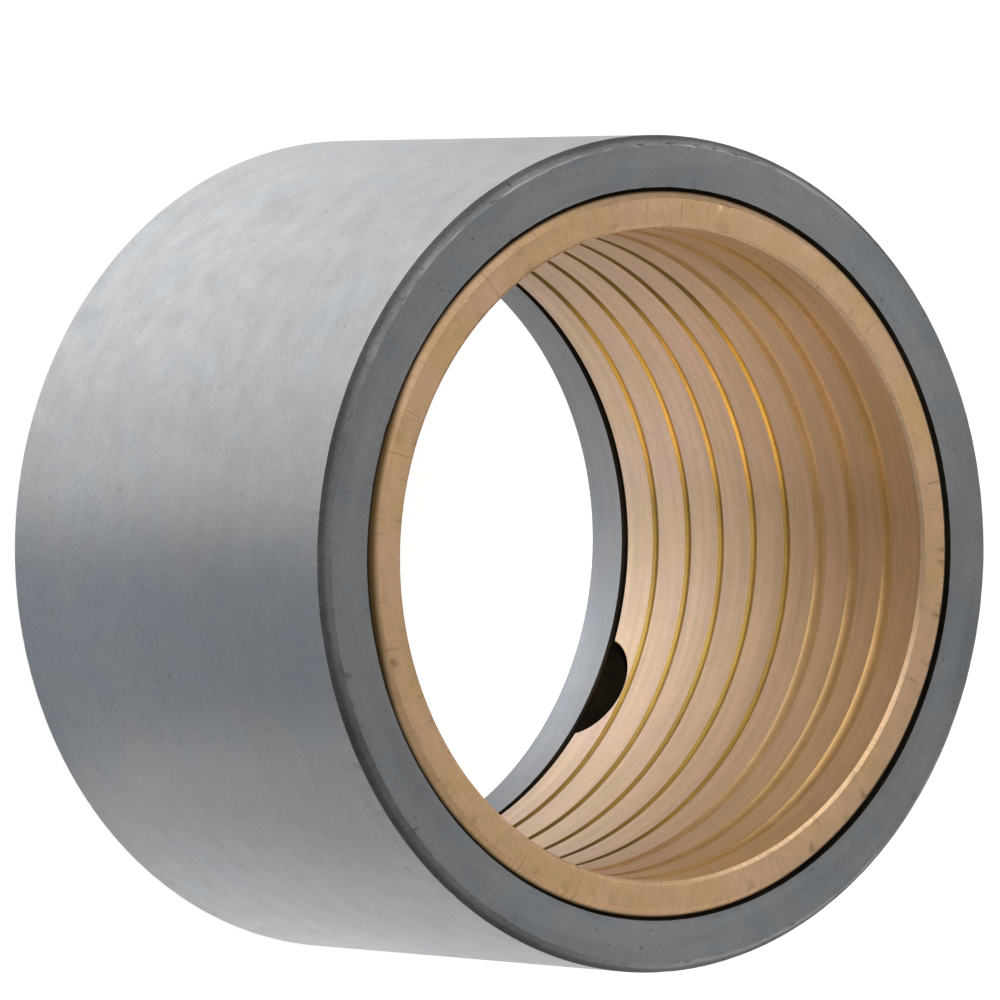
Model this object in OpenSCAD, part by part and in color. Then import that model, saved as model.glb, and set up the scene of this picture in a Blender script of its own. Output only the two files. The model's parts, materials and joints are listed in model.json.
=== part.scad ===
// Steel-backed bronze bushing for a greased pin.
// A turned steel shell carries a pressed-in bronze liner with ring grooves in its bore.
// Z runs along the bore. The origin is the centre of the shell's lower face, at its lead chamfer.
// The grease hole and the notch that it feeds are on the +X side.

/* [Bore] */
// Diameter of the pin that turns in the bushing
pin_d = 70; // [40:1:120]
// Gap between the pin and the liner, on the radius
pin_clearance = 0.1; // [0.05:0.05:0.5]

/* [Shell] */
// Length of the steel shell
shell_len = 60; // [40:1:120]
// Wall of the steel shell around the liner
shell_wall = 6; // [4:0.5:12]
// Length of the lip at the lower end, which stops the liner's grease ring
lip_len = 6; // [3:0.5:12]
// How far the lip's bore stays back from the liner's bore
lip_relief = 0.2; // [0.05:0.05:1]
// Chamfer on both inner edges of the lip
lip_chamfer = 0.25; // [0.1:0.05:1]
// Width of the upper outer chamfer, across the wall
face_chamfer_w = 1; // [0.3:0.1:1.5]
// Height of the upper outer chamfer, along the shell
face_chamfer_h = 1.2; // [0.3:0.1:3]
// Lead chamfer on the lower outer edge, for pressing the shell in
lead_chamfer = 2; // [0.5:0.1:3]
// Chamfer at the upper edge of the liner's seat
seat_chamfer = 0.4; // [0.1:0.1:1]

/* [Liner] */
// Wall of the bronze liner
liner_wall = 3.9; // [2.5:0.1:8]
// How far the liner stands above the shell's upper face
liner_proud = 0.4; // [0:0.1:1]
// Chamfer on the liner's upper outer edge
rim_chamfer = 0.8; // [0.2:0.1:1.2]
// Chamfer at the liner's mouth
mouth_chamfer = 0.4; // [0.1:0.1:1]
// Chamfer at the liner's lower inner edge
tail_chamfer = 0.2; // [0.1:0.1:0.6]
// Gap between the liner's lower end and the lip, which carries grease all round
grease_gap = 1; // [0.5:0.1:3]

/* [Ring grooves] */
// Distance from the shell's upper face to the first groove
first_groove = 5.6; // [4:0.1:12]
// Distance from one groove to the next
groove_pitch = 6; // [4:0.5:15]
// Plain bore kept between the last groove and the liner's lower end
last_land = 5; // [5:0.5:12]
// Width of the grooves away from the mouth
groove_w = 1.1; // [0.6:0.1:2]
// Depth of the grooves away from the mouth
groove_depth = 0.45; // [0.2:0.05:1]
// Number of wider grooves next to the mouth
wide_grooves = 3; // [0:1:6]
// Width of the wider grooves
wide_groove_w = 2; // [1.2:0.1:3]
// Depth of the wider grooves
wide_groove_depth = 0.4; // [0.2:0.05:1]

/* [Grease feed] */
// Diameter of the grease hole through the shell
grease_hole_d = 5; // [3:0.5:8]
// Room between the grease hole and the edges of the pocket that it opens into
pocket_margin = 0.3; // [0.1:0.1:1]
// Diameter of the round notch in the liner's lower end
notch_d = 12; // [10:0.5:16]

/* [Hidden] */
$fn = 180;
// overlap of a cutting shape past the face that it cuts
cut = 1;

bore_r = pin_d / 2 + pin_clearance;
lip_bore_r = bore_r + lip_relief;
seat_r = bore_r + liner_wall;
outer_r = seat_r + shell_wall;

liner_bottom_z = lip_len + grease_gap;
liner_top_z = shell_len + liner_proud;

// The pocket is the gap and the notch together, just tall enough for the grease hole.
pocket_h = grease_hole_d + 2 * pocket_margin;
notch_depth = max(pocket_h - grease_gap, pocket_margin);
grease_hole_z = lip_len + pocket_h / 2;
notch_z = liner_bottom_z + notch_depth - notch_d / 2;

groove_top_z = shell_len - first_groove;
groove_room = groove_top_z - liner_bottom_z - last_land;
groove_count = max(floor(groove_room / groove_pitch) + 1, 0);

// Turned shell: outside with two chamfers, seat for the liner, and the lip below it.
module shell_blank() {
    rotate_extrude()
        polygon([
            [lip_bore_r + lip_chamfer, 0],
            [outer_r - lead_chamfer, 0],
            [outer_r, lead_chamfer],
            [outer_r, shell_len - face_chamfer_h],
            [outer_r - face_chamfer_w, shell_len],
            [seat_r + seat_chamfer, shell_len],
            [seat_r, shell_len - seat_chamfer],
            [seat_r, lip_len],
            [lip_bore_r + lip_chamfer, lip_len],
            [lip_bore_r, lip_len - lip_chamfer],
            [lip_bore_r, lip_chamfer]
        ]);
}

// Cylinder along +X through one wall, centred at height z.
module radial_cutter(d, z, from_r, to_r) {
    translate([from_r, 0, z])
        rotate([0, 90, 0])
            cylinder(d = d, h = to_r - from_r);
}

module steel_shell() {
    color("#8f9499")
        difference() {
            shell_blank();
            radial_cutter(grease_hole_d, grease_hole_z, bore_r, outer_r + cut);
        }
}

// Turned liner: plain tube with a proud upper rim and a chamfered mouth.
module liner_blank() {
    rotate_extrude()
        polygon([
            [bore_r + tail_chamfer, liner_bottom_z],
            [seat_r, liner_bottom_z],
            [seat_r, liner_top_z - rim_chamfer],
            [seat_r - rim_chamfer, liner_top_z],
            [bore_r + mouth_chamfer, liner_top_z],
            [bore_r, liner_top_z - mouth_chamfer],
            [bore_r, liner_bottom_z + tail_chamfer]
        ]);
}

// Ring with a round section, which leaves a groove of width w and depth d in the bore.
module ring_cutter(w, d, z) {
    section_r = (w * w / 4 + d * d) / (2 * d);
    translate([0, 0, z])
        rotate_extrude()
            translate([bore_r + d - section_r, 0])
                circle(r = section_r, $fn = 48);
}

module ring_grooves() {
    for (i = [0 : 1 : groove_count - 1]) {
        wide = i < wide_grooves;
        ring_cutter(
            wide ? wide_groove_w : groove_w,
            wide ? wide_groove_depth : groove_depth,
            groove_top_z - i * groove_pitch
        );
    }
}

module bronze_liner() {
    color("#c9a27a")
        difference() {
            liner_blank();
            ring_grooves();
            radial_cutter(notch_d, notch_z, bore_r - cut - liner_wall, seat_r + cut);
        }
}

steel_shell();
bronze_liner();
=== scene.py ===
import json
import math

import bpy
from mathutils import Matrix, Vector, noise


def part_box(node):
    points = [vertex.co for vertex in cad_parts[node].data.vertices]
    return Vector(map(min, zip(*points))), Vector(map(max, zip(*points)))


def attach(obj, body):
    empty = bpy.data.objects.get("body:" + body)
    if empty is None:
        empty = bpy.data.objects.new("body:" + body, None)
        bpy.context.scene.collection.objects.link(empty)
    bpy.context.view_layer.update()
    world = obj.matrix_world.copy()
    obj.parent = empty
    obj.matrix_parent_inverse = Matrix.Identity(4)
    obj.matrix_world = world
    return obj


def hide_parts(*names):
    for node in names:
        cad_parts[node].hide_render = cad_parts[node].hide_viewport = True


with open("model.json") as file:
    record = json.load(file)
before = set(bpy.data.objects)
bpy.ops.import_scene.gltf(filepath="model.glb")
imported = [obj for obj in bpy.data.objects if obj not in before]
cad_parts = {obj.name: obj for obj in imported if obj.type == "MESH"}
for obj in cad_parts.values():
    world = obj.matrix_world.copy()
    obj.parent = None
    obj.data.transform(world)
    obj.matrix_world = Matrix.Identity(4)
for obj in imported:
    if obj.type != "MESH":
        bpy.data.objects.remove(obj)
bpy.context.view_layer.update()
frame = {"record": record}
mm = 0.001
white = (1.0, 1.0, 1.0)

# sizes that the frame gives, in millimetres
mounts = {mount["name"]: mount for mount in frame["record"]["mounts"]}
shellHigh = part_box("steel_shell")[1]
linerLow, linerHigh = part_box("bronze_liner")
boreRadius = mounts["pin_bore"]["dims"]["r_mm"]
holeRadius = mounts["grease_hole"]["dims"]["r_mm"]
holeHeight = mounts["grease_hole"]["pos_m"][2] / mm
outerRadius = shellHigh.x / mm
seatRadius = linerHigh.x / mm
shellTop = shellHigh.z / mm
linerTop = linerHigh.z / mm
linerBottom = linerLow.z / mm
print("frame: outside", round(2 * outerRadius, 2), "bore", round(2 * boreRadius, 2),
      "height", round(linerTop, 2))


def addObject(name, data):
    made = bpy.data.objects.new(name, data)
    bpy.context.collection.objects.link(made)
    return made


def direction(azimuth, elevation):
    flat = math.cos(math.radians(elevation))
    return Vector((
        flat * math.cos(math.radians(azimuth)),
        flat * math.sin(math.radians(azimuth)),
        math.sin(math.radians(elevation)),
    ))


# the camera of the picture, rolled on its side because the bushing stands upright here
cameraSetup = dict(
    lens=382.14,
    sensor=36,
    azimuth=-153.428,
    elevation=53.491,
    roll=91.5275,
    distance=1.16328,
    aim=Vector((-0.00238, 0.00478, 0.030)),
)


def placeCamera(setup):
    lensData = bpy.data.cameras.new("bushingCamera")
    lensData.lens = setup["lens"]
    lensData.sensor_width = setup["sensor"]
    camera = addObject("bushingCamera", lensData)
    back = direction(setup["azimuth"], setup["elevation"])
    levelRight = Vector((0, 0, 1)).cross(back).normalized()
    levelUp = back.cross(levelRight)
    roll = math.radians(setup["roll"])
    right = levelRight * math.cos(roll) + levelUp * math.sin(roll)
    up = back.cross(right)
    turn = Matrix((right, up, back)).transposed().to_4x4()
    camera.matrix_world = Matrix.Translation(setup["aim"] + back * setup["distance"]) @ turn
    bpy.context.scene.camera = camera


placeCamera(cameraSetup)
print("camera placed")


# outlines: half sections of a turned ring, in millimetres, with a small rounding on each corner

def corner(radius, height, finish, rounding=0.0, rows=1, wander=0.0, chips=0.0, worn=1.0):
    # finish belongs to the side that follows, rows is how often that side is cut across,
    # and worn is how bright the corner is made: partly rubbed wear, partly painted highlight
    return dict(at=Vector((radius, height)), finish=finish, rounding=rounding, rows=rows,
                wander=wander, chips=chips, worn=worn)


def roundedCorner(before, here, after, rounding, steps):
    toBefore = (before - here).normalized()
    toAfter = (after - here).normalized()
    halfAngle = toBefore.angle(toAfter) / 2
    centre = here + (toBefore + toAfter).normalized() * (rounding / math.sin(halfAngle))
    reach = rounding / math.tan(halfAngle)
    first = here + toBefore * reach - centre
    last = here + toAfter * reach - centre
    points = []
    for step in range(steps + 1):
        share = step / steps
        points.append(centre + (first * (1 - share) + last * share).normalized() * rounding)
    return points


def outlineRing(at, finish, drift=None, chip=None, edge=0):
    # drift and chip say which way an edge wanders and dents, edge how bright it is made by wear and painted
    # highlight
    return dict(at=at, finish=finish, drift=drift, chip=chip, edge=edge)


def turnedOutline(corners, steps=3, guard=0.05):
    # guard is how far the extra rings stand from a rounded corner, to keep the sides flat
    rings = []
    for index, here in enumerate(corners):
        before = corners[index - 1]
        after = corners[(index + 1) % len(corners)]
        toBefore = (before["at"] - here["at"]).normalized()
        toAfter = (after["at"] - here["at"]).normalized()
        chip = (toBefore + toAfter).normalized() * here["chips"]
        afterIsSquare = max(abs(toAfter.x), abs(toAfter.y)) > 0.999
        drift = (toAfter if afterIsSquare else toBefore) * here["wander"]
        if here["rounding"]:
            arc = roundedCorner(before["at"], here["at"], after["at"], here["rounding"], steps)
            rings.append(outlineRing(arc[0] + toBefore * guard, before["finish"], drift))
            for number, point in enumerate(arc):
                finish = before["finish"] if number < len(arc) // 2 else here["finish"]
                rings.append(outlineRing(point, finish, drift, chip, here["worn"]))
            rings.append(outlineRing(arc[-1] + toAfter * guard, here["finish"], drift))
        else:
            rings.append(outlineRing(here["at"], here["finish"], drift))
        start = here["at"] + toAfter * 2 * guard
        end = after["at"] - toAfter * 2 * guard
        for row in range(1, here["rows"]):
            rings.append(outlineRing(start.lerp(end, row / here["rows"]), here["finish"]))
    return rings


# how the turned edges wander and dent, and on which side they are rubbed bright and given a painted highlight
edgeSetup = dict(
    slowWaves=6,
    slowShare=0.6,
    quickWaves=28,
    quickShare=0.4,
    dentWaves=40,
    dentsAbove=0.32,
    dentRange=0.4,
    wornAndLitAzimuth=135,
    wornNarrow=6,
    leastWorn=0.15,
    wornPatches=3,
)


def noiseRound(angle, waves, seed):
    # noise along an edge, which meets itself after a whole turn
    return noise.noise(Vector((math.cos(angle) * waves, math.sin(angle) * waves, seed)))


def wanderAt(angle, seed):
    slow = noiseRound(angle, edgeSetup["slowWaves"], seed)
    quick = noiseRound(angle, edgeSetup["quickWaves"], seed + 5)
    return edgeSetup["slowShare"] * slow + edgeSetup["quickShare"] * quick


def chipAt(angle, seed):
    # mostly nothing, now and then a dent
    fine = noiseRound(angle, edgeSetup["dentWaves"], seed)
    return max(0.0, fine - edgeSetup["dentsAbove"]) / edgeSetup["dentRange"]


# edges brighter on the side toward the key panels: partly rubbed wear, partly painted highlight
def rubbedAndLitAt(angle, seed=11):
    facing = (1 + math.cos(angle - math.radians(edgeSetup["wornAndLitAzimuth"]))) / 2
    least = edgeSetup["leastWorn"]
    patchy = max(0.0, 1 + edgeSetup["wornPatches"] * wanderAt(angle, seed))
    return (least + (1 - least) * facing ** edgeSetup["wornNarrow"]) * patchy


def spin(name, rings, segments, finishes):
    count = len(rings)
    points = []
    wearAndHighlight = []
    for step in range(segments):
        angle = 2 * math.pi * step / segments
        cosine = math.cos(angle)
        sine = math.sin(angle)
        rubbedAndLit = rubbedAndLitAt(angle)
        for ring in rings:
            wearAndHighlight.append(ring["edge"] * rubbedAndLit)
            place = ring["at"]
            if ring["drift"]:
                place = place + ring["drift"] * wanderAt(angle, ring["at"].x)
            if ring["chip"]:
                place = place + ring["chip"] * chipAt(angle, ring["at"].y)
            points.append((place.x * cosine * mm, place.x * sine * mm, place.y * mm))
    faces = []
    for step in range(segments):
        here = step * count
        after = (step + 1) % segments * count
        for index in range(count):
            beyond = (index + 1) % count
            faces.append((here + index, after + index, after + beyond, here + beyond))
    mesh = bpy.data.meshes.new(name)
    mesh.from_pydata(points, [], faces)
    order = list(finishes)
    for finish in order:
        mesh.materials.append(finishes[finish])
    numbers = [order.index(ring["finish"]) for ring in rings]
    mesh.polygons.foreach_set("material_index", numbers * segments)
    worn = mesh.attributes.new("edgeWearAndHighlight", "FLOAT", "POINT")
    worn.data.foreach_set("value", wearAndHighlight)
    return addObject(name, mesh)


def radialCutter(height, stations, finishNumber, finishes, sides=96):
    # round cutter along +X; its rings follow the bushing's own walls: (wall radius, cutter radius)
    points = []
    for wallRadius, cutRadius in stations:
        for side in range(sides):
            angle = 2 * math.pi * side / sides
            across = cutRadius * math.cos(angle)
            outwards = math.sqrt(wallRadius ** 2 - across ** 2)
            upwards = height + cutRadius * math.sin(angle)
            points.append((outwards * mm, across * mm, upwards * mm))
    faces = [tuple(reversed(range(sides))), tuple(range(len(points) - sides, len(points)))]
    for row in range(len(stations) - 1):
        for side in range(sides):
            beyond = (side + 1) % sides
            first = row * sides
            second = first + sides
            faces.append((first + side, first + beyond, second + beyond, second + side))
    mesh = bpy.data.meshes.new("cutter")
    mesh.from_pydata(points, [], faces)
    for finish in finishes.values():
        mesh.materials.append(finish)
    mesh.polygons.foreach_set("material_index", [finishNumber] * len(faces))
    return addObject("cutter", mesh)


def cutAway(piece, cutter):
    cut = piece.modifiers.new("cut", "BOOLEAN")
    cut.operation = "DIFFERENCE"
    cut.solver = "EXACT"
    cut.material_mode = "INDEX"
    cut.object = cutter
    ready = piece.evaluated_get(bpy.context.evaluated_depsgraph_get())
    mesh = bpy.data.meshes.new_from_object(ready)
    piece.modifiers.clear()
    piece.data = mesh
    bpy.data.objects.remove(cutter)


def finishMesh(piece, sharpAngle=38):
    piece.data.shade_smooth()
    piece.data.set_sharp_from_angle(angle=math.radians(sharpAngle))


# nodes: small helpers, where an input is a socket or a plain number

def addNode(tree, kind, **settings):
    made = tree.nodes.new(kind)
    for key, value in settings.items():
        setattr(made, key, value)
    return made


def feed(tree, socket, value):
    if isinstance(value, bpy.types.NodeSocket):
        tree.links.new(value, socket)
    else:
        socket.default_value = value


def calculate(tree, operation, first, second=0.0, clamp=False):
    made = addNode(tree, "ShaderNodeMath", operation=operation, use_clamp=clamp)
    feed(tree, made.inputs[0], first)
    feed(tree, made.inputs[1], second)
    return made.outputs[0]


def scaled(tree, value, factor, start):
    return calculate(tree, "ADD", calculate(tree, "MULTIPLY", value, factor), start)


def spread(tree, value, fromLow, fromHigh, toLow=0.0, toHigh=1.0):
    made = addNode(tree, "ShaderNodeMapRange", interpolation_type="SMOOTHSTEP")
    for socket, number in zip(made.inputs[1:5], (fromLow, fromHigh, toLow, toHigh)):
        feed(tree, socket, number)
    feed(tree, made.inputs["Value"], value)
    return made.outputs["Result"]


def swing(tree, texture, low, high):
    # nearly all of a noise lies between 0.3 and 0.7
    return spread(tree, texture, 0.3, 0.7, low, high)


def blendColours(tree, share, first, second, mode="MIX"):
    made = addNode(tree, "ShaderNodeMix", data_type="RGBA", blend_type=mode)
    feed(tree, made.inputs[0], share)
    feed(tree, made.inputs[6], (*first, 1.0) if isinstance(first, tuple) else first)
    feed(tree, made.inputs[7], (*second, 1.0) if isinstance(second, tuple) else second)
    return made.outputs[2]


def noiseAt(tree, vector, scale, detail, roughness):
    made = addNode(tree, "ShaderNodeTexNoise", noise_dimensions="3D")
    feed(tree, made.inputs["Vector"], vector)
    made.inputs["Scale"].default_value = scale
    made.inputs["Detail"].default_value = detail
    made.inputs["Roughness"].default_value = roughness
    return made.outputs["Fac"]


def placeOnRing(tree, heightRate=1.3):
    # place in metres, the direction round the ring, its radius, and the way that the tool fed;
    # height counts for more than radius there, or a 45 degree chamfer would show no marks
    place = addNode(tree, "ShaderNodeTexCoord").outputs["Object"]
    split = addNode(tree, "ShaderNodeSeparateXYZ")
    tree.links.new(place, split.inputs[0])
    x, y, z = split.outputs
    squares = calculate(tree, "ADD", calculate(tree, "MULTIPLY", x, x), calculate(tree, "MULTIPLY", y, y))
    radius = calculate(tree, "SQRT", squares)
    across = calculate(tree, "DIVIDE", x, radius)
    along = calculate(tree, "DIVIDE", y, radius)
    toolFeed = calculate(tree, "ADD", radius, calculate(tree, "MULTIPLY", z, heightRate))
    return dict(place=place, across=across, along=along, radius=radius, height=z, toolFeed=toolFeed)


def towards(tree, ring, azimuth):
    # 1 on the side of the ring at that azimuth, -1 on the other side
    turn = math.radians(azimuth)
    first = calculate(tree, "MULTIPLY", ring["across"], math.cos(turn))
    second = calculate(tree, "MULTIPLY", ring["along"], math.sin(turn))
    return calculate(tree, "ADD", first, second)


def stretched(tree, ring, aroundRate, feedRate):
    # noise space that is slow or quick round the ring, and slow or quick over the tool's feed
    made = addNode(tree, "ShaderNodeCombineXYZ")
    feed(tree, made.inputs[0], calculate(tree, "MULTIPLY", ring["across"], aroundRate))
    feed(tree, made.inputs[1], calculate(tree, "MULTIPLY", ring["along"], aroundRate))
    feed(tree, made.inputs[2], calculate(tree, "MULTIPLY", ring["toolFeed"], feedRate))
    return made.outputs[0]


def ringTextures(tree, ring, setups):
    # a setup with around and feed is stretched, any other has one scale;
    # span keeps the part of the noise between two levels
    textures = {}
    for name, setup in setups.items():
        if "around" in setup:
            vector = stretched(tree, ring, setup["around"], setup["feed"])
            made = noiseAt(tree, vector, 1.0, setup["detail"], setup["roughness"])
        else:
            made = noiseAt(tree, ring["place"], setup["scale"], setup["detail"], setup["roughness"])
        textures[name] = spread(tree, made, *setup["span"]) if "span" in setup else made
    return textures


def startMaterial(name):
    material = bpy.data.materials.new(name)
    material.use_nodes = True
    tree = material.node_tree
    return material, tree, tree.nodes["Principled BSDF"]


def patchyShade(tree, textures, look):
    # lighter and darker in patches, grain and streaks
    shade = scaled(tree, textures["patches"], look["patchiness"], 1 - look["patchiness"] / 2)
    for name in ("grain", "streaks"):
        level = swing(tree, textures[name], 1 - look[name], 1 + look[name])
        shade = calculate(tree, "MULTIPLY", shade, level)
    return shade


def lessOf(tree, shade, texture, amount):
    return calculate(tree, "SUBTRACT", shade, calculate(tree, "MULTIPLY", texture, amount))


# lighter edges, partly wear and partly painted highlight
def wornAndLitEdges(tree, shade, amount):
    worn = addNode(tree, "ShaderNodeAttribute", attribute_name="edgeWearAndHighlight").outputs["Fac"]
    return calculate(tree, "ADD", shade, calculate(tree, "MULTIPLY", worn, amount))


def paintedSideLight(tree, ring, shade, sides):
    # painted light and shade on sides of the ring: azimuth, how narrow, and the level away from it and on it
    for azimuth, narrow, away, there in sides:
        level = spread(tree, towards(tree, ring, azimuth), narrow, 1.0, away, there)
        shade = calculate(tree, "MULTIPLY", shade, level)
    return shade


def addBump(tree, shader, layers):
    # layers of (height, depth in metres), each on top of the last
    normal = None
    for height, depth in layers:
        made = addNode(tree, "ShaderNodeBump")
        made.inputs["Strength"].default_value = 1.0
        made.inputs["Distance"].default_value = depth
        feed(tree, made.inputs["Height"], height)
        if normal:
            tree.links.new(normal, made.inputs["Normal"])
        normal = made.outputs["Normal"]
    tree.links.new(normal, shader.inputs["Normal"])


def addShine(tree, shader, textures, look, patchRough, markRough=0.0):
    # patchRough and markRough say how far the roughness follows the patches and the tool marks
    rough = scaled(tree, textures["patches"], patchRough, look["roughness"] - patchRough / 2)
    if markRough:
        rough = calculate(tree, "ADD", rough, calculate(tree, "MULTIPLY", textures["marks"], markRough))
    tree.links.new(rough, shader.inputs["Roughness"])
    shader.inputs["Metallic"].default_value = look["metallic"]
    shader.inputs["Anisotropic"].default_value = look["anisotropic"]
    shader.inputs["Anisotropic Rotation"].default_value = 0.25  # a quarter turn, across the marks
    addBump(tree, shader, [
        (textures["marks"], look["marks"]),
        (textures["patches"], look["waves"]),
        (textures["grain"], look["pits"]),
    ])


# steel: cloudy grey, marks of the tool round the ring, fine grain, sparse dark specks, and edges brightened by
# wear and by a painted highlight
steelTextures = dict(
    clouds=dict(scale=130, detail=6, roughness=0.6, span=(0.36, 0.64)),
    patches=dict(scale=310, detail=4, roughness=0.6),
    marks=dict(around=0.30, feed=2200, detail=3, roughness=0.6),
    streaks=dict(around=1.6, feed=420, detail=3, roughness=0.6),
    grain=dict(scale=2200, detail=2, roughness=0.6),
    specks=dict(scale=950, detail=1, roughness=0.5, span=(0.72, 0.78)),
)


def steelFinish(name, look):
    material, tree, shader = startMaterial(name)
    ring = placeOnRing(tree)
    textures = ringTextures(tree, ring, steelTextures)
    colour = blendColours(tree, textures["clouds"], look["cool"], look["warm"])
    shade = patchyShade(tree, textures, look)
    shade = lessOf(tree, shade, textures["specks"], look["specks"])
    if "mouthShade" in look:
        # darker towards the mouth, lighter towards the far end
        duller = spread(tree, ring["height"], 0.0, shellTop * mm, 2 - look["mouthShade"], look["mouthShade"])
        shade = calculate(tree, "MULTIPLY", shade, duller)
    if "outer" in look:
        # the tool left the outer part of a chamfer darker, with an uneven border
        outer = look["outer"]
        border = calculate(tree, "MULTIPLY", textures["patches"], outer["border"] * mm)
        uneven = calculate(tree, "ADD", ring["radius"], border)
        start = (outerRadius - outer["start"]) * mm
        full = (outerRadius - outer["full"]) * mm
        shade = calculate(tree, "MULTIPLY", shade, spread(tree, uneven, start, full, 1.0, outer["shade"]))
    # painted light and shade on some sides of the ring
    shade = paintedSideLight(tree, ring, shade, look.get("sides", ()))
    shade = wornAndLitEdges(tree, shade, look["edge"])
    tree.links.new(blendColours(tree, 1.0, colour, shade, "MULTIPLY"), shader.inputs["Base Color"])
    addShine(tree, shader, textures, look, patchRough=0.14, markRough=0.1)
    return material


steelLooks = dict(
    groundOutside=dict(
        cool=(0.645, 0.665, 0.685), warm=(0.67, 0.67, 0.67), patchiness=0.28, grain=0.04, streaks=0.02,
        specks=0.15, mouthShade=0.9, edge=0.1, roughness=0.40, metallic=0.92, anisotropic=0.9,
        marks=3e-6, waves=8e-6, pits=1.5e-6),
    turnedFace=dict(
        cool=(0.315, 0.335, 0.355), warm=(0.345, 0.35, 0.35), patchiness=0.3, grain=0.05, streaks=0.08,
        specks=0.3, edge=0.3, roughness=0.46, metallic=0.85, anisotropic=0.4,
        marks=5e-6, waves=6e-6, pits=2e-6),
    turnedChamfer=dict(
        cool=(0.22, 0.225, 0.23), warm=(0.26, 0.26, 0.255), patchiness=0.7, grain=0.1, streaks=0.28,
        # its sides paint a highlight on the side of the chamfer at azimuth 340
        specks=0.4, outer=dict(shade=0.5, start=0.5, full=0.05, border=0.5), sides=((340, 0.3, 1.0, 1.7),),
        edge=0.3, roughness=0.62, metallic=0.7, anisotropic=0.2,
        marks=5e-6, waves=8e-6, pits=4e-6),
    boredLip=dict(
        cool=(0.39, 0.43, 0.475), warm=(0.42, 0.445, 0.475), patchiness=0.14, grain=0.03, streaks=0.05,
        specks=0.1, edge=0.1, roughness=0.4, metallic=0.9, anisotropic=0.6,
        marks=4e-6, waves=4e-6, pits=1.5e-6),
    # near-black seat and shoulder in the gap against the liner: partly dirt, partly painted shade of the gap
    dirtyShadedSeam=dict(
        cool=(0.014, 0.010, 0.007), warm=(0.026, 0.018, 0.010), patchiness=0.4, grain=0.1, streaks=0.1,
        specks=0.1, edge=0.3, roughness=0.65, metallic=0.95, anisotropic=0.0,
        marks=3e-6, waves=4e-6, pits=3e-6),
)
steelFinishes = {name: steelFinish("steel_" + name, look) for name, look in steelLooks.items()}
print("steel finishes made:", len(steelFinishes))

# shell, in millimetres; what it shares with the liner comes from the frame
shellSetup = dict(
    segments=900,
    lipLength=6,
    lipRelief=0.2,
    lipChamfer=0.25,
    leadChamfer=2,
    faceChamferWide=1,
    faceChamferHigh=1.2,
    seatChamfer=0.4,
    rounding=0.1,
    faceWander=0.16,
    chamferWander=0.08,
    seamWander=0.04,
    chips=0.16,
    # brightness of the line at the face's outer corner: partly a burr, partly painted highlight
    burrAndHighlight=1.7,
    holeChamfer=0.3,
)
cutterBeyond = 0.5  # how far a cutter stands out of the wall that it cuts


def makeShell(setup):
    lipRadius = boreRadius + setup["lipRelief"]
    lipEdge = lipRadius + setup["lipChamfer"]
    lipTop = setup["lipLength"]
    lead = setup["leadChamfer"]
    seatChamfer = setup["seatChamfer"]
    soft = setup["rounding"]
    chips = setup["chips"]
    ragged = dict(wander=setup["chamferWander"], chips=chips / 2)
    corners = [
        corner(lipEdge, 0, "turnedFace", soft, rows=3),
        corner(outerRadius - lead, 0, "turnedChamfer", soft, **ragged),
        corner(outerRadius, lead, "groundOutside", soft, rows=14, chips=chips / 2),
        corner(outerRadius, shellTop - setup["faceChamferHigh"], "turnedChamfer", soft * 1.5, **ragged),
        corner(outerRadius - setup["faceChamferWide"], shellTop, "turnedFace", soft * 2, rows=4,
               wander=setup["faceWander"], chips=chips, worn=setup["burrAndHighlight"]),
        corner(seatRadius + seatChamfer, shellTop, "dirtyShadedSeam", soft / 2,
               wander=setup["seamWander"], chips=chips / 2),
        corner(seatRadius, shellTop - seatChamfer, "dirtyShadedSeam"),
        corner(seatRadius, lipTop, "dirtyShadedSeam"),
        corner(lipEdge, lipTop, "dirtyShadedSeam", soft / 2, worn=0),
        corner(lipRadius, lipTop - setup["lipChamfer"], "boredLip", soft / 2, rows=3, worn=0),
        corner(lipRadius, setup["lipChamfer"], "boredLip", soft / 2),
    ]
    piece = spin("steelShell", turnedOutline(corners), setup["segments"], steelFinishes)
    stations = [
        (seatRadius - cutterBeyond, holeRadius),
        (outerRadius - setup["holeChamfer"], holeRadius),
        (outerRadius + cutterBeyond, holeRadius + setup["holeChamfer"] + cutterBeyond),
    ]
    drilled = list(steelFinishes).index("turnedChamfer")
    cutAway(piece, radialCutter(holeHeight, stations, drilled, steelFinishes))
    finishMesh(piece)
    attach(piece, "root")
    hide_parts("steel_shell")


makeShell(shellSetup)
print("shell made")


# bronze: pinkish gold with short scratches, darker near the mouth with oil and painted shade, deeper and darker
# gold in the grooves, partly dirt and partly painted shade
bronzeTextures = dict(
    clouds=dict(scale=110, detail=5, roughness=0.6, span=(0.35, 0.65)),
    patches=dict(scale=420, detail=4, roughness=0.65),
    marks=dict(around=0.30, feed=2600, detail=3, roughness=0.6),
    streaks=dict(around=1.4, feed=600, detail=4, roughness=0.65),
    grain=dict(scale=3000, detail=2, roughness=0.6),
    combing=dict(around=130, feed=420, detail=3, roughness=0.6),
    combedParts=dict(scale=160, detail=2, roughness=0.5, span=(0.4, 0.65)),
    scratches=dict(around=90, feed=260, detail=2, roughness=0.6, span=(0.62, 0.72)),
)
oilAndShadeFrom = 0.1  # share of the height below which there is no oil film and no painted shade
soilAndShadeBlur = 0.6  # width in millimetres over which the seam's stain, dirt and painted shade fade out


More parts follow.
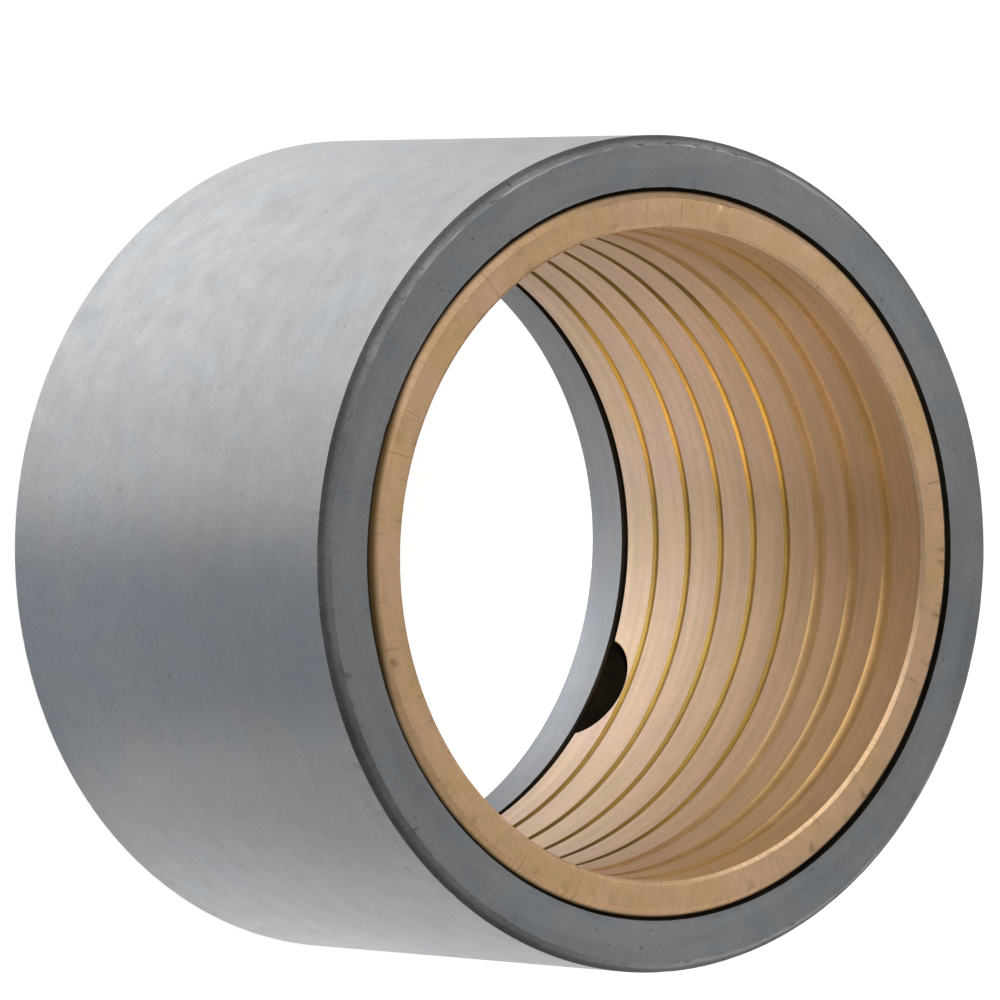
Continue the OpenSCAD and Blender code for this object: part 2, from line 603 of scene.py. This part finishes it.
def bronzeFinish(name, look):
    material, tree, shader = startMaterial(name)
    ring = placeOnRing(tree)
    textures = ringTextures(tree, ring, bronzeTextures)
    colour = blendColours(tree, textures["clouds"], look["pink"], look["gold"])
    shade = patchyShade(tree, textures, look)
    combed = swing(tree, textures["combing"], -look["combing"], look["combing"])
    shade = calculate(tree, "ADD", shade, calculate(tree, "MULTIPLY", combed, textures["combedParts"]))
    shade = lessOf(tree, shade, textures["scratches"], look["scratches"])
    shade = wornAndLitEdges(tree, shade, look["edge"])
    # painted light and shade on some sides of the ring
    shade = paintedSideLight(tree, ring, shade, look.get("sides", ()))
    colour = blendColours(tree, 1.0, colour, shade, "MULTIPLY")
    # a film of oil near the mouth, partly painted shade: darker near the mouth, paler deep in the bore
    oilAndShadeShare = spread(tree, ring["height"], oilAndShadeFrom * linerTop * mm, linerTop * mm)
    oilAndShadeColour = blendColours(tree, oilAndShadeShare, white, look.get("oilAndShade", white))
    colour = blendColours(tree, 1.0, colour, oilAndShadeColour, "MULTIPLY")
    # stain, dirt and painted shade of the gap in the seam against the shell, each reaching out further on one
    # side
    for soilAndShade in look.get("seamDirtAndShade", ()):
        side = towards(tree, ring, soilAndShade["azimuth"])
        reach = spread(tree, side, soilAndShade["narrow"], 1.0, 0.0, soilAndShade["further"] * mm)
        edge = (seatRadius - soilAndShade["start"]) * mm
        soiledAndShaded = spread(tree, calculate(tree, "ADD", ring["radius"], reach), edge, edge + soilAndShadeBlur * mm)
        colour = blendColours(tree, soiledAndShaded, colour, soilAndShade["tint"])
    tree.links.new(colour, shader.inputs["Base Color"])
    addShine(tree, shader, textures, look, patchRough=0.16)
    return material


# darkening along the gap to the shell: partly stain and dirt, partly painted shade
brownStainAndShade = dict(azimuth=205, narrow=0.85, start=0.35, further=0.5, tint=(0.13, 0.07, 0.015))
blackDirtAndShade = dict(azimuth=12, narrow=0.5, start=0.3, further=0.75, tint=(0.035, 0.02, 0.008))
bronzeLooks = dict(
    facedEnd=dict(
        pink=(0.80, 0.52, 0.32), gold=(0.76, 0.50, 0.255), patchiness=0.4, grain=0.03, streaks=0.04,
        combing=0.06, scratches=0.25, edge=0.15, roughness=0.42, metallic=0.85, anisotropic=0.4,
        marks=4e-6, waves=5e-6, pits=2e-6),
    rimChamfer=dict(
        pink=(0.64, 0.42, 0.25), gold=(0.60, 0.39, 0.20), patchiness=0.5, grain=0.05, streaks=0.06,
        combing=0.08, scratches=0.25, edge=0.1, roughness=0.7, metallic=0.4, anisotropic=0.2,
        # its sides paint light on the side at azimuth 290 and shade on the side at 115
        sides=((290, 0.2, 1.0, 1.5), (115, 0.85, 1.0, 0.65)), seamDirtAndShade=(brownStainAndShade, blackDirtAndShade),
        marks=4e-6, waves=6e-6, pits=3e-6),
    mouthChamfer=dict(
        pink=(0.75, 0.51, 0.32), gold=(0.73, 0.50, 0.28), patchiness=0.5, grain=0.05, streaks=0.06,
        combing=0.15, scratches=0.3, edge=0.1, roughness=0.52, metallic=0.75, anisotropic=0.3,
        # its sides paint shade on the sides at azimuths 36, 97 and -75
        sides=((36, 0.85, 1.0, 0.62), (97, 0.88, 1.0, 0.7), (-75, 0.85, 1.0, 0.75)),
        marks=4e-6, waves=8e-6, pits=3e-6),
    boredLand=dict(
        pink=(0.88, 0.69, 0.555), gold=(0.85, 0.68, 0.49), patchiness=0.2, grain=0.03, streaks=0.08,
        combing=0.02, scratches=0.05, edge=0.1, roughness=0.42, metallic=0.75, anisotropic=0.6,
        # its sides paint a highlight on the side at azimuth 62; its oil tint is partly painted shade near the
        # mouth
        sides=((62, 0.9, 1.0, 1.12),), oilAndShade=(0.66, 0.54, 0.37),
        marks=5e-6, waves=4e-6, pits=2e-6),
    # a little deeper gold than the lands: painted shade of the groove's hollow
    wideGroove=dict(
        pink=(0.78, 0.59, 0.36), gold=(0.80, 0.61, 0.34), patchiness=0.3, grain=0.04, streaks=0.12,
        combing=0.04, scratches=0.05, edge=0.0, roughness=0.4, metallic=0.8, anisotropic=0.5,
        # its sides paint a highlight on the side at azimuth 60; its oil tint is partly painted shade near the
        # mouth
        sides=((60, 0.9, 0.95, 1.45),), oilAndShade=(0.74, 0.61, 0.43),
        marks=5e-6, waves=4e-6, pits=2e-6),
    # darker, deeper gold than the lands: partly dirt, partly painted shade of the narrow groove
    plainGroove=dict(
        pink=(0.46, 0.275, 0.06), gold=(0.50, 0.32, 0.06), patchiness=0.4, grain=0.05, streaks=0.15,
        combing=0.05, scratches=0.05, edge=0.0, roughness=0.6, metallic=0.5, anisotropic=0.2,
        # its sides paint a highlight at azimuth 58 and shade away from it and at -50; its oil tint is partly
        # painted shade near the mouth
        sides=((58, 0.92, 0.65, 1.85), (-50, 0.93, 1.0, 0.5)), oilAndShade=(0.95, 0.85, 0.65),
        marks=5e-6, waves=4e-6, pits=2e-6),
)
bronzeFinishes = {name: bronzeFinish("bronze_" + name, look) for name, look in bronzeLooks.items()}
print("bronze finishes made:", len(bronzeFinishes))

# liner, in millimetres; the grooves run down from the mouth, the first few of them wider
linerSetup = dict(
    segments=600,
    rimChamfer=0.8,
    mouthChamfer=0.4,
    tailChamfer=0.2,
    firstGroove=5.6,
    groovePitch=6,
    grooves=8,
    wideGrooves=3,
    wideGroove=dict(width=2.0, depth=0.4, finish="wideGroove"),
    plainGroove=dict(width=1.1, depth=0.45, finish="plainGroove"),
    notchRadius=6,
    notchHeight=5.6,
    notchChamfer=0.15,
    rounding=0.1,
    rimWander=0.06,
    mouthWander=0.05,
    chips=0.1,
)


def grooveCorners(height, groove, soft=0.04, steps=4):
    # round-bottomed cut, from its upper edge to its lower one
    halfWidth = groove["width"] / 2
    depth = groove["depth"]
    finish = groove["finish"]
    section = (halfWidth ** 2 + depth ** 2) / (2 * depth)
    centre = boreRadius + depth - section
    halfAngle = math.asin(halfWidth / section)
    if depth > section:
        halfAngle = math.pi - halfAngle
    corners = [corner(boreRadius, height + halfWidth, finish, soft, worn=0)]
    for step in range(1, steps):
        angle = halfAngle * (1 - 2 * step / steps)
        corners.append(corner(centre + section * math.cos(angle), height + section * math.sin(angle), finish))
    corners.append(corner(boreRadius, height - halfWidth, "boredLand", soft, worn=0))
    return corners


def makeLiner(setup):
    soft = setup["rounding"]
    chips = setup["chips"]
    rim = setup["rimChamfer"]
    mouth = setup["mouthChamfer"]
    tail = setup["tailChamfer"]
    corners = [
        corner(boreRadius + tail, linerBottom, "boredLand", soft / 2),
        corner(seatRadius, linerBottom, "boredLand"),
        corner(seatRadius, linerTop - rim, "rimChamfer"),
        corner(seatRadius - rim, linerTop, "facedEnd", soft, rows=2, wander=setup["rimWander"], chips=chips),
        corner(boreRadius + mouth, linerTop, "mouthChamfer", soft, wander=setup["mouthWander"], chips=chips / 2),
        corner(boreRadius, linerTop - mouth, "boredLand", soft),
    ]
    for number in range(setup["grooves"]):
        groove = setup["wideGroove"] if number < setup["wideGrooves"] else setup["plainGroove"]
        corners += grooveCorners(shellTop - setup["firstGroove"] - number * setup["groovePitch"], groove)
    corners.append(corner(boreRadius, linerBottom + tail, "boredLand", soft / 2))
    piece = spin("bronzeLiner", turnedOutline(corners), setup["segments"], bronzeFinishes)
    notch = setup["notchRadius"]
    edge = setup["notchChamfer"]
    stations = [
        (boreRadius - cutterBeyond, notch + edge + cutterBeyond),
        (boreRadius + edge, notch),
        (seatRadius + 2 * cutterBeyond, notch),
    ]
    # the notch takes the darker groove colour, partly dirt and partly painted shade
    milled = list(bronzeFinishes).index("plainGroove")
    cutAway(piece, radialCutter(setup["notchHeight"], stations, milled, bronzeFinishes))
    finishMesh(piece)
    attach(piece, "root")
    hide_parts("bronze_liner")


makeLiner(linerSetup)
print("liner made")

# floor: white to the camera, pale in the metal, darker where the bushing keeps the lamps off it, and with a
# painted shadow on one side
floorSetup = dict(
    halfSize=2.5,
    glowToCamera=0.93,
    glowInMetal=0.26,
    greyToCamera=0.3,
    paleGrey=0.65,
    paintedShadowAzimuth=225,
    paintedShadowEdge=(0.9, 0.99),
    paintedShadowTint=(0.64, 0.685, 0.755),
)


def makeFloor(setup):
    half = setup["halfSize"]
    mesh = bpy.data.meshes.new("floor")
    square = [(-half, -half, 0), (half, -half, 0), (half, half, 0), (-half, half, 0)]
    mesh.from_pydata(square, [], [(0, 1, 2, 3)])
    floor = addObject("floor", mesh)
    material, tree, shader = startMaterial("paleFloor")
    tree.nodes.remove(shader)
    rays = addNode(tree, "ShaderNodeLightPath").outputs
    toCamera = calculate(tree, "MULTIPLY", rays["Is Camera Ray"], setup["glowToCamera"])
    mirrored = calculate(tree, "ADD", rays["Is Glossy Ray"], rays["Is Transmission Ray"], clamp=True)
    # a narrow painted shadow on the floor beside the bushing, which the metal mirrors as a dark reflection
    ring = placeOnRing(tree)
    onPaintedShadow = spread(tree, towards(tree, ring, setup["paintedShadowAzimuth"]), *setup["paintedShadowEdge"])
    paintedShadowInMetal = calculate(tree, "MULTIPLY", onPaintedShadow, mirrored)
    inMetal = calculate(tree, "MULTIPLY", mirrored, setup["glowInMetal"])
    glow = addNode(tree, "ShaderNodeEmission")
    feed(tree, glow.inputs["Color"], blendColours(tree, paintedShadowInMetal, white, setup["paintedShadowTint"]))
    feed(tree, glow.inputs["Strength"], calculate(tree, "MAXIMUM", toCamera, inMetal))
    plainGrey = (setup["paleGrey"],) * 3
    paintedShadowGrey = tuple(setup["paleGrey"] * tint for tint in setup["paintedShadowTint"])
    greyWithPaintedShadow = blendColours(tree, onPaintedShadow, plainGrey, paintedShadowGrey)
    cameraGrey = (setup["greyToCamera"],) * 3
    matt = addNode(tree, "ShaderNodeBsdfDiffuse")
    feed(tree, matt.inputs["Color"], blendColours(tree, rays["Is Camera Ray"], greyWithPaintedShadow, cameraGrey))
    both = addNode(tree, "ShaderNodeAddShader")
    tree.links.new(glow.outputs[0], both.inputs[0])
    tree.links.new(matt.outputs[0], both.inputs[1])
    tree.links.new(both.outputs[0], tree.nodes["Material Output"].inputs["Surface"])
    mesh.materials.append(material)


def makeWorld(level):
    # white to the camera, and a low even light on everything else
    world = bpy.data.worlds.new("studio")
    world.use_nodes = True
    tree = world.node_tree
    rays = addNode(tree, "ShaderNodeLightPath")
    background = tree.nodes["Background"]
    background.inputs["Color"].default_value = (*white, 1.0)
    toCamera = calculate(tree, "MULTIPLY", rays.outputs["Is Camera Ray"], 1 - level)
    feed(tree, background.inputs["Strength"], calculate(tree, "ADD", toCamera, level))
    bpy.context.scene.world = world


makeFloor(floorSetup)
makeWorld(level=0.07)
print("floor and surroundings made")

# square white panels in a ring round the bushing, and one behind it that the end faces mirror
panelSize = 0.7
panelDistance = 1.2
panels = dict(
    keyOne=dict(azimuth=120, elevation=22, brightness=2.15),
    keyTwo=dict(azimuth=150, elevation=22, brightness=2.6),
    keyThree=dict(azimuth=180, elevation=22, brightness=1.7),
    sideOne=dict(azimuth=60, elevation=22, brightness=1.6),
    sideTwo=dict(azimuth=90, elevation=22, brightness=1.0),
    lowOne=dict(azimuth=300, elevation=22, brightness=1.15),
    lowTwo=dict(azimuth=330, elevation=22, brightness=2.0),
    behind=dict(azimuth=26.6, elevation=58, brightness=0.65),
)
# narrow lamps that shine down through the mouth, onto the far end of the bore and onto one side of it
boreLampDistance = 1.0
boreLampCone = 2.4
boreLampSoftness = 0.02
boreLamps = dict(
    boreEnd=dict(azimuth=185, elevation=52, power=92, target=(0.0345, 0, 0.012)),
    boreSide=dict(azimuth=240, elevation=60, power=30, target=(0.0175, 0.0304, 0.03)),
)


def aimLamp(name, light, setup, distance, target=(0, 0, 0)):
    lamp = addObject(name, light)
    back = direction(setup["azimuth"], setup["elevation"])
    lamp.location = Vector(target) + back * distance
    lamp.rotation_euler = back.to_track_quat("Z", "Y").to_euler()


for panelName, panel in panels.items():
    panelLight = bpy.data.lights.new(panelName, "AREA")
    panelLight.shape = "SQUARE"
    panelLight.size = panelSize
    panelLight.energy = math.pi * panelSize ** 2 * panel["brightness"]
    aimLamp(panelName, panelLight, panel, panelDistance)

for spotName, spot in boreLamps.items():
    spotLight = bpy.data.lights.new(spotName, "SPOT")
    spotLight.spot_size = math.radians(boreLampCone)
    spotLight.spot_blend = 1.0
    spotLight.shadow_soft_size = boreLampSoftness
    spotLight.energy = spot["power"]
    aimLamp(spotName, spotLight, spot, boreLampDistance, spot["target"])
print("lamps placed:", len(panels) + len(boreLamps))

bpy.context.scene.view_settings.view_transform = "Standard"
